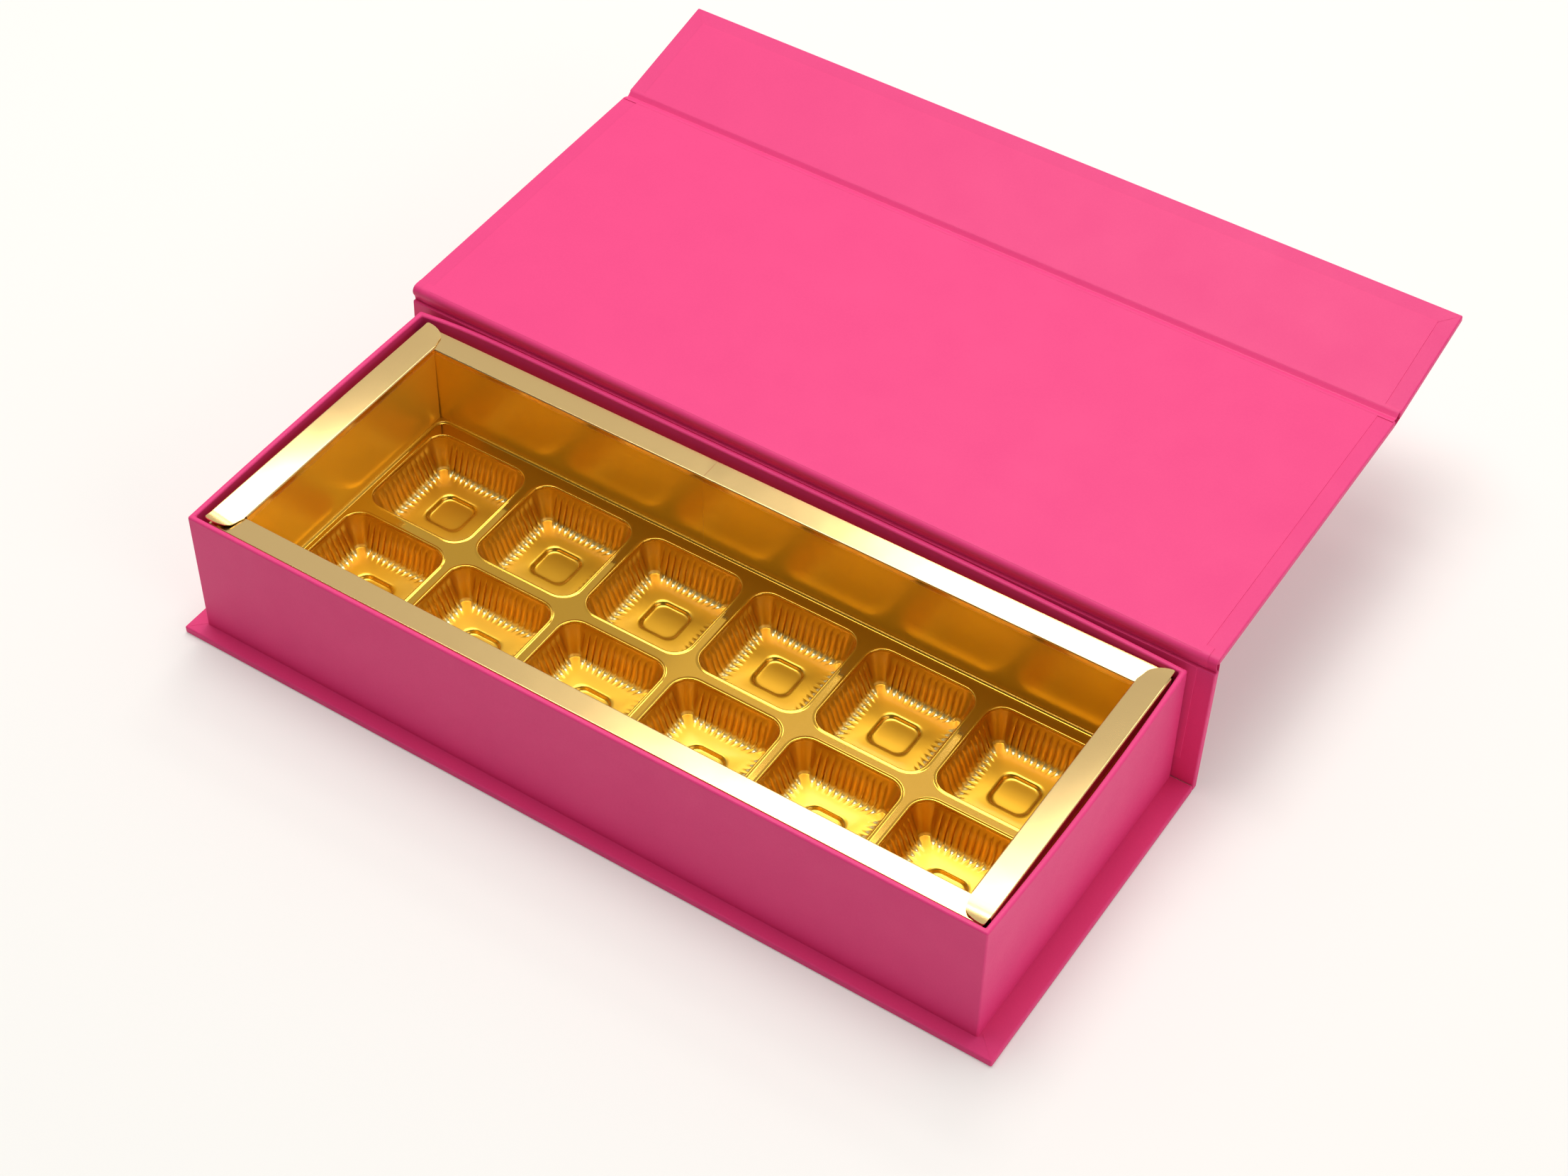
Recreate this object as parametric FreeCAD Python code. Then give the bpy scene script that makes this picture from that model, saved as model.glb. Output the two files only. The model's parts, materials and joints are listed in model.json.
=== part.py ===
"""Book-style chocolate box: a paper-wrapped board case, a tray, a gold card frame and a gold cavity insert.

Millimetres and degrees. The origin is the centre of the tray's footprint on the underside of the base.
+X runs along the box, +Y to the back (the spine), +Z up. The lid is drawn open, laid back behind the box.
"""
import FreeCAD, Part
import math
import os

# Sheet materials
BOARD = 2.0             # grey board of the case panels and tray walls
PAPER = 0.15            # pink wrapping and lining paper
STAY_PAPER = 0.1        # gummed paper that holds the tray corners
GOLD_CARD = 0.4         # folded card of the gold frame
GOLD_SHEET = 0.4        # thermoformed sheet of the insert

# Tray
TRAY_LENGTH = 240.0
TRAY_WIDTH = 98.0
TRAY_HEIGHT = 41.0
TRAY_BEVEL = 0.6        # softened edge of the wrapped walls
TRAY_TURN_IN = 22.0     # wrap carried down inside the walls
TRAY_TURN_UNDER = 12.0  # wrap carried under the floor
STAY_WIDTH = 14.0       # each leg of a corner stay
STAY_DROP = 4.0         # from the tray's top edge to a stay

# Case
APRON_SIDE = 6.5        # base showing past each tray end
APRON_FRONT = 4.2       # base showing in front of the tray
CASE_TURN_IN = 15.0     # wrap turned in over a panel's edge
CASE_BEVEL = 0.45       # softened edge of the wrapped panels
LINER_MARGIN = 5.0      # from a panel's edge to the lining sheet
SPINE_LINER_START = 7.5 # lining sheet ends this far above the base
FLAP_LENGTH = 41.5      # from the flap's fold to its free edge

# Folds
LID_CLEARANCE = 0.3     # closed lid over the tray
FLAP_CLEARANCE = 0.4    # closed flap in front of the tray
FOLD_CLEARANCE = 0.35   # between two panels folded square
FOLD_SETBACK = 0.5      # lid board edge to a fold line
FOLD_PLAY = 0.35        # lid wrap edge to a fold line
LID_REST = 1.0          # lid above level when laid open
FLAP_REST = 11.5        # flap bent up from the open lid

# Magnets
MAGNET_LENGTH = 20.0
MAGNET_WIDTH = 10.0
MAGNET_THICKNESS = 1.5
MAGNET_PLAY = 0.1       # all round, in the punched slot
MAGNET_SPACING = 150.0
MAGNET_HEIGHT = 20.5    # above the tray's underside

# Gold frame
RIM_DROP = 1.2          # tray edge down to the upper rims
FRAME_PLAY = 0.5        # frame to the tray's inside
LONG_RIM = 6.6          # rim width of the front and back rails
END_RIM = 7.1           # rim width of the left and right rails
CARD_BEVEL = 0.25       # outside of a folded card edge
CORNER_SLIT = 0.2       # between neighbouring inner walls
TAB_LENGTH = 5.8        # rounded end of an end rail's rim
TAB_SHOULDER = 2.6      # where the round of a tab begins
TAB_TAKE_IN = 1.4       # tab narrower than its rim on the inner side

# Insert
POCKETS_LONG = 6
POCKETS_DEEP = 2
POCKET_PITCH_LONG = 36.4
POCKET_PITCH_DEEP = 36.9
POCKET_SIZE = 32.6      # across the mouth
POCKET_CORNER = 5.2     # corner radius at the mouth
CORNER_FACETS = 4       # flats round each corner of a pocket
POCKET_DEPTH = 10.0
POCKET_TAPER = 3.2      # each side draws in this much to the floor
MOUTH_BAND = 1.4        # plain wall above the flutes
FLUTES = 11             # on each side of a pocket
FLUTE_HEIGHT = 0.5
LIP_HEIGHT = 0.35       # raised edge round the mouth
LIP_WIDTH = 1.0
LIP_CREST = 0.7         # outer edge of the lip's top, as a share of its width
FOOT_SIZE = 12.0        # sunken square in the pocket floor
FOOT_CORNER = 2.8
FOOT_DEPTH = 1.0
FOOT_TAPER = 0.4
FIELD_STEP = 0.5        # sunken field that carries the pockets
FIELD_INSET = 1.0       # from the gold walls to the field
FIELD_CORNER = 3.0
INSERT_PLAY = 0.4       # insert to the frame's outer legs

# Levels and faces that several pieces share
PANEL = BOARD + 2 * PAPER
CASE_LENGTH = TRAY_LENGTH + 2 * APRON_SIDE
TRAY_BOTTOM = PANEL
TRAY_TOP = TRAY_BOTTOM + TRAY_HEIGHT
SPINE_INSIDE = TRAY_WIDTH / 2
HINGE_Y = SPINE_INSIDE + 2 * PAPER + BOARD
HINGE_Z = TRAY_TOP + LID_CLEARANCE + PANEL
FOLD_GAP = PANEL + FOLD_CLEARANCE
SPINE_TOP = HINGE_Z - FOLD_GAP
FLAP_FACE = -(TRAY_WIDTH / 2 + FLAP_CLEARANCE + PANEL)
LID_SPAN = HINGE_Y - FLAP_FACE
BASE_FRONT = -(TRAY_WIDTH / 2 + APRON_FRONT)
BASE_BACK = HINGE_Y - BOARD - PAPER

TRAY_SKIN = PAPER + STAY_PAPER
WALL = TRAY_SKIN + BOARD + PAPER
FLOOR_TOP = TRAY_BOTTOM + PAPER + BOARD
ROOM_X = TRAY_LENGTH / 2 - WALL
ROOM_Y = TRAY_WIDTH / 2 - WALL
FRAME_X = ROOM_X - FRAME_PLAY
FRAME_Y = ROOM_Y - FRAME_PLAY
OPEN_X = FRAME_X - END_RIM
OPEN_Y = FRAME_Y - LONG_RIM
UPPER_RIM = TRAY_TOP - RIM_DROP
LOWER_RIM = UPPER_RIM - GOLD_CARD
FIELD_TOP = FLOOR_TOP + GOLD_SHEET + FOOT_DEPTH + POCKET_DEPTH
FLANGE_TOP = FIELD_TOP + FIELD_STEP

X_AXIS = FreeCAD.Vector(1, 0, 0)
Z_AXIS = FreeCAD.Vector(0, 0, 1)
ORIGIN = FreeCAD.Vector(0, 0, 0)


def box(x0, x1, y0, y1, z0, z1):
    """A block between two corners."""
    return Part.makeBox(x1 - x0, y1 - y0, z1 - z0, FreeCAD.Vector(x0, y0, z0))


def wide_box(half_x, y0, y1, z0, z1):
    """A block centred on X = 0."""
    return box(-half_x, half_x, y0, y1, z0, z1)


def bevelled_plate(half_x, half_y, bevel, z0, z1):
    """A block centred on the Z axis, with its upright edges bevelled."""
    plate = box(-half_x, half_x, -half_y, half_y, z0, z1)
    if not bevel:
        return plate
    return plate.makeChamfer(bevel, [e for e in plate.Edges if near(e.Length, z1 - z0)])


def bevel_within(bevel, layer):
    """The bevel of what lies under a layer of even thickness."""
    return bevel - (2 - math.sqrt(2)) * layer


def edges_on(shape, wanted):
    """The edges whose two end points both satisfy a test."""
    return [e for e in shape.Edges if all(wanted(v.Point) for v in e.Vertexes)]


def near(a, b):
    return abs(a - b) < 1e-6


# Case panels
# Each panel is drawn flat: u (as Y) runs away from its fold, w (as Z) from the board's outer face inwards.

def panel_block(half, u0, u1, w0, w1, bevel, free_start, free_end):
    """A panel-sized block, bevelled along its sides and along the ends that are free edges."""
    block = wide_box(half, u0, u1, w0, w1)

    def is_bevelled(e):
        a, b = (v.Point for v in e.Vertexes)
        on_side = near(abs(a.x), half) and near(a.x, b.x)
        on_start = near(a.y, u0) and near(b.y, u0)
        on_end = near(a.y, u1) and near(b.y, u1)
        if on_start:
            return free_start
        if on_end:
            return free_end
        return on_side

    return block.makeChamfer(bevel, [e for e in block.Edges if is_bevelled(e)])


def panel_board(u0, u1, free_start=False, free_end=False):
    """The grey board of a panel, inside its wrap."""
    u0 += PAPER if free_start else 0
    u1 -= PAPER if free_end else 0
    bevel = bevel_within(CASE_BEVEL, PAPER)
    return panel_block(CASE_LENGTH / 2 - PAPER, u0, u1, 0, BOARD, bevel, free_start, free_end)


def panel_wrap(board, u0, u1, free_start=False, free_end=False, turn_end=False):
    """The pink paper of a panel: its outer face, its edges and the turn-ins on its inner face."""
    reach = CASE_LENGTH / 2
    skin = panel_block(reach, u0, u1, -PAPER, BOARD + PAPER, CASE_BEVEL, free_start, free_end)
    window_end = u1 - CASE_TURN_IN if turn_end else u1
    window = wide_box(reach - CASE_TURN_IN, u0, window_end, BOARD, BOARD + PAPER)
    return skin.cut(Part.makeCompound([board, window]))


def panel_liner(u0, u1, window_end):
    """The lining sheet: it lies on the turn-ins and steps down to the board inside them."""
    half = CASE_LENGTH / 2 - LINER_MARGIN
    window = CASE_LENGTH / 2 - CASE_TURN_IN
    over = wide_box(half, u0, u1, BOARD + PAPER, BOARD + 2 * PAPER)
    step = PAPER if window_end < u1 else 0
    dip = wide_box(window - PAPER, u0, window_end - step, BOARD + PAPER, BOARD + 2 * PAPER)
    floor = wide_box(window, u0, window_end, BOARD, BOARD + PAPER)
    return over.cut(dip).fuse(floor)


def fold_strip(length):
    """Wrap and lining glued together in a fold, with a round edge on the fold line at u = 0."""
    half = CASE_LENGTH / 2
    sheet = wide_box(half, 0, length, -PAPER, PAPER)
    bead = Part.makeCylinder(PAPER, 2 * half, FreeCAD.Vector(-half, 0, 0), X_AXIS)
    return sheet.fuse(bead)


def magnet_blocks(play, depth):
    """A block at each magnet place, drawn flat: z = 0 to depth, centred on y = 0."""
    half_x = MAGNET_LENGTH / 2 + play
    half_y = MAGNET_WIDTH / 2 + play
    places = (-MAGNET_SPACING / 2, MAGNET_SPACING / 2)
    return Part.makeCompound([box(x - half_x, x + half_x, -half_y, half_y, 0, depth) for x in places])


def on_base(shape):
    """Lay a flat panel as the base: u to the front, inner face up."""
    shape.rotate(ORIGIN, Z_AXIS, 180)
    shape.translate(FreeCAD.Vector(0, BASE_BACK, PAPER))
    return shape


def on_spine(shape):
    """Stand a flat panel as the spine: u up, inner face to the tray."""
    shape.rotate(ORIGIN, X_AXIS, 90)
    shape.translate(FreeCAD.Vector(0, HINGE_Y, 0))
    return shape


def on_lid(shape):
    """Swing a flat panel to the open lid's place."""
    shape.rotate(ORIGIN, X_AXIS, LID_REST)
    shape.translate(FreeCAD.Vector(0, HINGE_Y, HINGE_Z))
    return shape


def on_flap(shape):
    """Bend a flat panel up from the end of the open lid."""
    shape.rotate(ORIGIN, X_AXIS, FLAP_REST)
    shape.translate(FreeCAD.Vector(0, LID_SPAN, 0))
    return on_lid(shape)


def case_pieces():
    """Boards, wraps, lining sheets and folds of the base, spine, lid and flap, with the flap's magnets."""
    base_depth = BASE_BACK - BASE_FRONT
    base_board = panel_board(0, base_depth, free_end=True)
    base_wrap = panel_wrap(base_board, 0, base_depth, free_end=True, turn_end=True)

    spine_board = panel_board(0, SPINE_TOP, free_start=True)
    spine_wrap = panel_wrap(spine_board, 0, SPINE_TOP, free_start=True)
    spine_liner = panel_liner(TRAY_BOTTOM + SPINE_LINER_START, SPINE_TOP, SPINE_TOP)

    lid_end = LID_SPAN - FOLD_SETBACK
    lid_board = panel_board(FOLD_SETBACK, lid_end)
    lid_wrap = panel_wrap(lid_board, FOLD_SETBACK, lid_end)
    play = FOLD_SETBACK - FOLD_PLAY
    reach = CASE_LENGTH / 2
    for start in (FOLD_PLAY, lid_end):
        lid_wrap = lid_wrap.fuse(wide_box(reach - CASE_BEVEL, start, start + play, -PAPER, 0))
    lid_liner = panel_liner(FOLD_SETBACK, lid_end, lid_end)

    flap_board = panel_board(FOLD_GAP, FLAP_LENGTH, free_end=True)
    flap_wrap = panel_wrap(flap_board, FOLD_GAP, FLAP_LENGTH, free_end=True, turn_end=True)
    flap_liner = panel_liner(FOLD_GAP, FLAP_LENGTH - LINER_MARGIN, FLAP_LENGTH - CASE_TURN_IN)
    magnet_u = HINGE_Z - TRAY_BOTTOM - MAGNET_HEIGHT
    slots = magnet_blocks(MAGNET_PLAY, BOARD)
    slots.translate(FreeCAD.Vector(0, magnet_u, 0))
    flap_board = flap_board.cut(slots)
    magnets = magnet_blocks(0, MAGNET_THICKNESS)
    magnets.translate(FreeCAD.Vector(0, magnet_u, BOARD - MAGNET_THICKNESS))

    lid_fold = fold_strip(FOLD_GAP)
    lid_fold.rotate(ORIGIN, X_AXIS, -90)
    lid_fold.translate(FreeCAD.Vector(0, HINGE_Y, HINGE_Z))
    return {
        "base_board": on_base(base_board),
        "base_wrap": on_base(base_wrap),
        "spine_board": on_spine(spine_board),
        "spine_wrap": on_spine(spine_wrap),
        "spine_liner": on_spine(spine_liner),
        "lid_fold": lid_fold,
        "lid_board": on_lid(lid_board),
        "lid_wrap": on_lid(lid_wrap),
        "lid_liner": on_lid(lid_liner),
        "flap_fold": on_flap(fold_strip(FOLD_GAP)),
        "flap_board": on_flap(flap_board),
        "flap_wrap": on_flap(flap_wrap),
        "flap_liner": on_flap(flap_liner),
        "flap_magnets": on_flap(magnets),
    }


# Tray

def tray_ring(skin, inner, z0, z1, corner, hole_corner=0.0, top_bevel=0.0):
    """Four upright walls in one ring, bevelled at the corners and along the top edges."""
    block = bevelled_plate(TRAY_LENGTH / 2 - skin, TRAY_WIDTH / 2 - skin, corner, z0, z1)
    ring = block.cut(bevelled_plate(TRAY_LENGTH / 2 - inner, TRAY_WIDTH / 2 - inner, hole_corner, z0, z1))
    if not top_bevel:
        return ring
    return ring.makeChamfer(top_bevel, edges_on(ring, lambda p: near(p.z, z1)))


def tray_pieces():
    """Floor, walls, corner stays, wrap and the front wall's magnets."""
    half_x = TRAY_LENGTH / 2
    half_y = TRAY_WIDTH / 2
    board_in = TRAY_SKIN + BOARD
    board_top = TRAY_TOP - PAPER
    z0 = TRAY_BOTTOM + PAPER
    corner = bevel_within(TRAY_BEVEL, TRAY_SKIN)
    stay_corner = bevel_within(TRAY_BEVEL, PAPER)
    walls = tray_ring(TRAY_SKIN, board_in, z0, board_top, corner, top_bevel=corner)
    room_x = half_x - board_in
    room_y = half_y - board_in
    front = walls.common(box(-half_x, half_x, -half_y, -room_y, z0, board_top))
    back = walls.common(box(-half_x, half_x, room_y, half_y, z0, board_top))
    left = walls.common(box(-half_x, -room_x, -room_y, room_y, z0, board_top))
    right = walls.common(box(room_x, half_x, -room_y, room_y, z0, board_top))
    floor = wide_box(room_x, -room_y, room_y, z0, FLOOR_TOP)

    magnet_place = FreeCAD.Vector(0, -(half_y - TRAY_SKIN), TRAY_BOTTOM + MAGNET_HEIGHT)
    slots = magnet_blocks(MAGNET_PLAY, BOARD)
    magnets = magnet_blocks(0, MAGNET_THICKNESS)
    for upright in (slots, magnets):
        upright.rotate(ORIGIN, X_AXIS, -90)
        upright.translate(magnet_place)
    front = front.cut(slots)

    stays = tray_ring(PAPER, TRAY_SKIN, z0, TRAY_TOP - STAY_DROP, stay_corner, hole_corner=corner)
    along = wide_box(half_x - STAY_WIDTH, -half_y, half_y, z0, TRAY_TOP)
    across = wide_box(half_x, -(half_y - STAY_WIDTH), half_y - STAY_WIDTH, z0, TRAY_TOP)
    stays = stays.cut([along, across])

    wrap = tray_ring(0, WALL, TRAY_BOTTOM, TRAY_TOP, TRAY_BEVEL, top_bevel=TRAY_BEVEL)
    under = tray_ring(TRAY_SKIN, TRAY_TURN_UNDER, TRAY_BOTTOM, z0, corner)
    below_turn_in = wide_box(room_x, -room_y, room_y, z0, TRAY_TOP - TRAY_TURN_IN)
    solid_walls = walls.fuse(below_turn_in)
    wrap = wrap.fuse(under).cut(solid_walls).cut(stays)
    return {
        "tray_floor_board": floor,
        "tray_front_board": front,
        "tray_back_board": back,
        "tray_left_board": left,
        "tray_right_board": right,
        "tray_corner_stays": stays,
        "tray_wrap": wrap,
        "tray_magnets": magnets,
    }


# Gold frame

def channel(length, width, rim_top):
    """A folded card rail along X: inner wall at y = 0, outer leg at y = width, rim on top."""
    half = length / 2
    rail = wide_box(half, 0, width, FLOOR_TOP, rim_top)
    fold_edges = edges_on(rail, lambda p: near(p.z, rim_top))
    fold_edges = [e for e in fold_edges if not near(e.Vertexes[0].X, e.Vertexes[1].X)]
    rail = rail.makeChamfer(CARD_BEVEL, fold_edges)
    hollow = wide_box(half, GOLD_CARD, width - GOLD_CARD, FLOOR_TOP, rim_top - GOLD_CARD)
    above_insert = wide_box(half, 0, GOLD_CARD, FLOOR_TOP, FLANGE_TOP)
    return rail.cut(Part.makeCompound([hollow, above_insert]))


def long_rail():
    """The back rail; its inner wall stops short of the end rails' inner walls."""
    rail = channel(2 * FRAME_X, LONG_RIM, LOWER_RIM)
    beyond = FRAME_X - OPEN_X + CORNER_SLIT
    ends = []
    for side in (-1, 1):
        x0 = -FRAME_X if side < 0 else FRAME_X - beyond
        ends.append(box(x0, x0 + beyond, 0, GOLD_CARD, FLOOR_TOP, LOWER_RIM - CARD_BEVEL))
    rail = rail.cut(Part.makeCompound(ends))
    rail.translate(FreeCAD.Vector(0, OPEN_Y, 0))
    return rail


def rim_tab():
    """The rounded end of an end rail's rim, drawn from x = 0 outwards, over y = 0 to END_RIM."""
    low = FreeCAD.Vector(0, 0, LOWER_RIM)
    shoulder = FreeCAD.Vector(TAB_SHOULDER, TAB_TAKE_IN, LOWER_RIM)
    tip = FreeCAD.Vector(TAB_LENGTH, (END_RIM + TAB_TAKE_IN) / 2, LOWER_RIM)
    outer = FreeCAD.Vector(TAB_SHOULDER, END_RIM, LOWER_RIM)
    heel = FreeCAD.Vector(0, END_RIM, LOWER_RIM)
    outline = Part.Wire([
        Part.LineSegment(low, shoulder).toShape(),
        Part.Arc(shoulder, tip, outer).toShape(),
        Part.LineSegment(outer, heel).toShape(),
        Part.LineSegment(heel, low).toShape(),
    ])
    return Part.Face(outline).extrude(FreeCAD.Vector(0, 0, GOLD_CARD))


def end_rail():
    """The right rail: its rim's tabs lie on the long rails' rims."""
    rail = channel(2 * (OPEN_Y - CORNER_SLIT), END_RIM, UPPER_RIM)
    tab = rim_tab()
    tab.translate(FreeCAD.Vector(OPEN_Y - CORNER_SLIT, 0, 0))
    rail = rail.fuse([tab, tab.mirror(ORIGIN, X_AXIS)])
    rail.rotate(ORIGIN, Z_AXIS, -90)
    rail.translate(FreeCAD.Vector(OPEN_X, 0, 0))
    return rail


def frame_pieces():
    """Front, back, left and right rails."""
    back = long_rail()
    right = end_rail()
    return {
        "frame_front_rail": back.mirror(ORIGIN, FreeCAD.Vector(0, 1, 0)),
        "frame_back_rail": back,
        "frame_left_rail": right.mirror(ORIGIN, X_AXIS),
        "frame_right_rail": right,
    }


# Insert

def square_outline(half, corner, z, ridge=0.0):
    """A rounded square, its sides plain or zigzagged into flutes that point inwards."""
    run = half - corner
    steps = 2 * FLUTES if ridge else 1
    quarter = []
    for i in range(steps + 1):
        quarter.append(FreeCAD.Vector(-run + 2 * run * i / steps, -half + (ridge if i % 2 else 0), z))
    for i in range(1, CORNER_FACETS):
        angle = math.radians(90 * i / CORNER_FACETS)
        quarter.append(FreeCAD.Vector(run + corner * math.sin(angle), -run - corner * math.cos(angle), z))
    points = []
    for turn in (0, 90, 180, 270):
        turned = FreeCAD.Rotation(Z_AXIS, turn)
        points += [turned.multVec(p) for p in quarter]
    return points


def flat_face(points):
    """The face inside a closed outline."""
    return Part.Face(Part.makePolygon(points + points[:1]))


def taper(lower, upper):
    """A flat-faced solid between two outlines of the same kind."""
    faces = [flat_face(lower), flat_face(upper)]
    for i in range(len(lower)):
        faces.append(flat_face([lower[i - 1], lower[i], upper[i], upper[i - 1]]))
    return Part.makeSolid(Part.makeShell(faces))


def pocket_level(depth, outwards=0.0):
    """Half width and corner radius of a pocket's wall at a depth below the field."""
    drawn_in = POCKET_TAPER * depth / POCKET_DEPTH - outwards
    return POCKET_SIZE / 2 - drawn_in, POCKET_CORNER - drawn_in


def foot_body(floor, outwards=0.0):
    """The small sunken square that a pocket stands on."""
    half = FOOT_SIZE / 2 + outwards
    corner = FOOT_CORNER + outwards
    low = square_outline(half - FOOT_TAPER, corner - FOOT_TAPER, floor - FOOT_DEPTH)
    return taper(low, square_outline(half, corner, floor))


def pocket_room():
    """The room in a pocket, with the field at z = 0: plain mouth, fluted walls, sunken foot."""
    mouth = square_outline(*pocket_level(-LIP_HEIGHT, LIP_HEIGHT), LIP_HEIGHT)
    band = square_outline(*pocket_level(MOUTH_BAND), -MOUTH_BAND)
    high = square_outline(*pocket_level(MOUTH_BAND), -MOUTH_BAND, FLUTE_HEIGHT)
    low = square_outline(*pocket_level(POCKET_DEPTH), -POCKET_DEPTH, FLUTE_HEIGHT)
    return [taper(band, mouth), taper(low, high), foot_body(-POCKET_DEPTH)]


def pocket_shell():
    """The outside of a pocket, one sheet thickness beyond its room, and the lip on top."""
    floor = POCKET_DEPTH + GOLD_SHEET
    low = square_outline(*pocket_level(floor, GOLD_SHEET), -floor)
    high = square_outline(*pocket_level(0, GOLD_SHEET), 0)
    return [taper(low, high), foot_body(-floor, GOLD_SHEET), lip_body()]


def lip_body():
    """The raised edge round a pocket's mouth."""
    half, corner = pocket_level(0)
    low = square_outline(half + LIP_WIDTH, corner + LIP_WIDTH, 0)
    crest = LIP_WIDTH * LIP_CREST
    high = square_outline(half + crest, corner + crest, LIP_HEIGHT)
    return taper(low, high)


def insert_piece():
    """One formed sheet: flange, sunken field and the rows of fluted pockets."""
    field_x = OPEN_X - FIELD_INSET
    field_y = OPEN_Y - FIELD_INSET
    rim_x = FRAME_X - GOLD_CARD - INSERT_PLAY
    rim_y = FRAME_Y - GOLD_CARD - INSERT_PLAY
    sheet = bevelled_plate(rim_x, rim_y, FIELD_CORNER, FLANGE_TOP - GOLD_SHEET, FLANGE_TOP)
    pan = bevelled_plate(field_x + GOLD_SHEET, field_y + GOLD_SHEET, FIELD_CORNER + GOLD_SHEET,
                        FIELD_TOP - GOLD_SHEET, FLANGE_TOP)
    field = bevelled_plate(field_x, field_y, FIELD_CORNER, FIELD_TOP, FLANGE_TOP)
    sheet = sheet.fuse(pan).cut(field)

    shells = []
    rooms = []
    for column in range(POCKETS_LONG):
        for row in range(POCKETS_DEEP):
            place = FreeCAD.Vector(
                (column - (POCKETS_LONG - 1) / 2) * POCKET_PITCH_LONG,
                (row - (POCKETS_DEEP - 1) / 2) * POCKET_PITCH_DEEP,
                FIELD_TOP,
            )
            shells += [body.translated(place) for body in pocket_shell()]
            rooms += [body.translated(place) for body in pocket_room()]
    return {"cavity_insert": sheet.fuse(shells).cut(rooms)}


def main():
    os.makedirs("parts", exist_ok=True)
    pieces = {**case_pieces(), **tray_pieces(), **frame_pieces(), **insert_piece()}
    for name, shape in pieces.items():
        shape.exportStep("parts/" + name + ".step")
        print(name, "solids", len(shape.Solids), "valid", shape.isValid(), "volume", round(shape.Volume, 2))


main()
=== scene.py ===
# %% [markdown]
# # A book-style chocolate box
# The CAD model already has every panel, rail and joint in its place. This lesson dresses it: it replaces
# the stiff CAD sheets with pieces that have soft paper edges, folded card and a fluted gold insert, gives
# each one a material, and sets up the studio in which it is seen. Shapes are drawn in millimetres and
# turned to metres at the end, because a box maker thinks in millimetres.

# %% Load the CAD frame
import json
import math
import bmesh
import bpy
from mathutils import Matrix, Vector


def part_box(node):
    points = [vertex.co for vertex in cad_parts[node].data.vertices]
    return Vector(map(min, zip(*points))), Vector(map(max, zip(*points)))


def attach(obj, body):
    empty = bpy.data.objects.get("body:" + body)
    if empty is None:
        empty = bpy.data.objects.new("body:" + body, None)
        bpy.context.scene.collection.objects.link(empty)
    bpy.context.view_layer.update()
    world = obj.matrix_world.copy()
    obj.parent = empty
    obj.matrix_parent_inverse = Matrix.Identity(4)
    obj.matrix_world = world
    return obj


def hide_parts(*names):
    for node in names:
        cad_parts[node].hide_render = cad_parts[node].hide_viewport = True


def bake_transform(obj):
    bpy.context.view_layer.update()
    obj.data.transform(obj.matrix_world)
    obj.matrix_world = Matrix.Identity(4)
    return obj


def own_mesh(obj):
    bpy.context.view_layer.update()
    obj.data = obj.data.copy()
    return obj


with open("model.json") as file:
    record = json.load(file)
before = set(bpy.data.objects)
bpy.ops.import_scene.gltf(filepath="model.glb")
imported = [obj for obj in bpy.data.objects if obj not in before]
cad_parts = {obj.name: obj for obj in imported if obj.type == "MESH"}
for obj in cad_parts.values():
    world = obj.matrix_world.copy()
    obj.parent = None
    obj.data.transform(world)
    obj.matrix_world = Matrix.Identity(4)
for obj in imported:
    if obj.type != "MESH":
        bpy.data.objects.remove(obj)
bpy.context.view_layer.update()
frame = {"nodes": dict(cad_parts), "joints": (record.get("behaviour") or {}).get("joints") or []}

MM = 0.001
nodes = frame["nodes"]
scene = bpy.context.scene
scene.view_settings.view_transform = "Standard"
print("CAD nodes:", len(nodes))

# %% [markdown]
# ## Where the panels are
# The two joints say where the paper folds are. The lid starts at the first fold and ends at the second, so
# the line between them gives the lid's slope. The flap's lower limit is where it lies flat with the lid,
# which gives the flap's slope. Each place is a matrix that carries a panel drawn flat to where it stands:
# X along the box, Y away from the fold, Z from the outside of the board to its inside.

# %% Places of the lid and flap
joints = {joint["name"]: joint for joint in frame["joints"]}
lid_fold_line = Vector(joints["lid_hinge"]["pos_m"])
flap_fold_line = Vector(joints["flap_hinge"]["pos_m"])
lid_run = flap_fold_line - lid_fold_line
lid_slope = math.atan2(lid_run.z, lid_run.y)
flap_slope = lid_slope - math.radians(joints["flap_hinge"]["range_deg"][0])
lid_place = Matrix.Translation(lid_fold_line) @ Matrix.Rotation(lid_slope, 4, "X")
flap_place = Matrix.Translation(flap_fold_line) @ Matrix.Rotation(flap_slope, 4, "X")
print("lid slope", round(math.degrees(lid_slope), 2), "flap slope", round(math.degrees(flap_slope), 2))

# %% [markdown]
# ## The camera
# The photograph is 2212 by 1659 pixels. Its focal length and the camera's place were worked out from the
# corners of the box. A camera in Blender looks down its own Z axis, so it is tipped up from straight down,
# turned about Z, and rolled a little about its own axis.

# %% Camera
PHOTO_WIDTH = 2212
FOCAL_PIXELS = 4120.9
SENSOR_WIDTH = 36.0
CAMERA_PLACE = Vector((296.8, -414.2, 585.4)) * MM
CAMERA_ELEVATION = 46.67
CAMERA_AZIMUTH = 32.64
CAMERA_ROLL = 0.91

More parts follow.
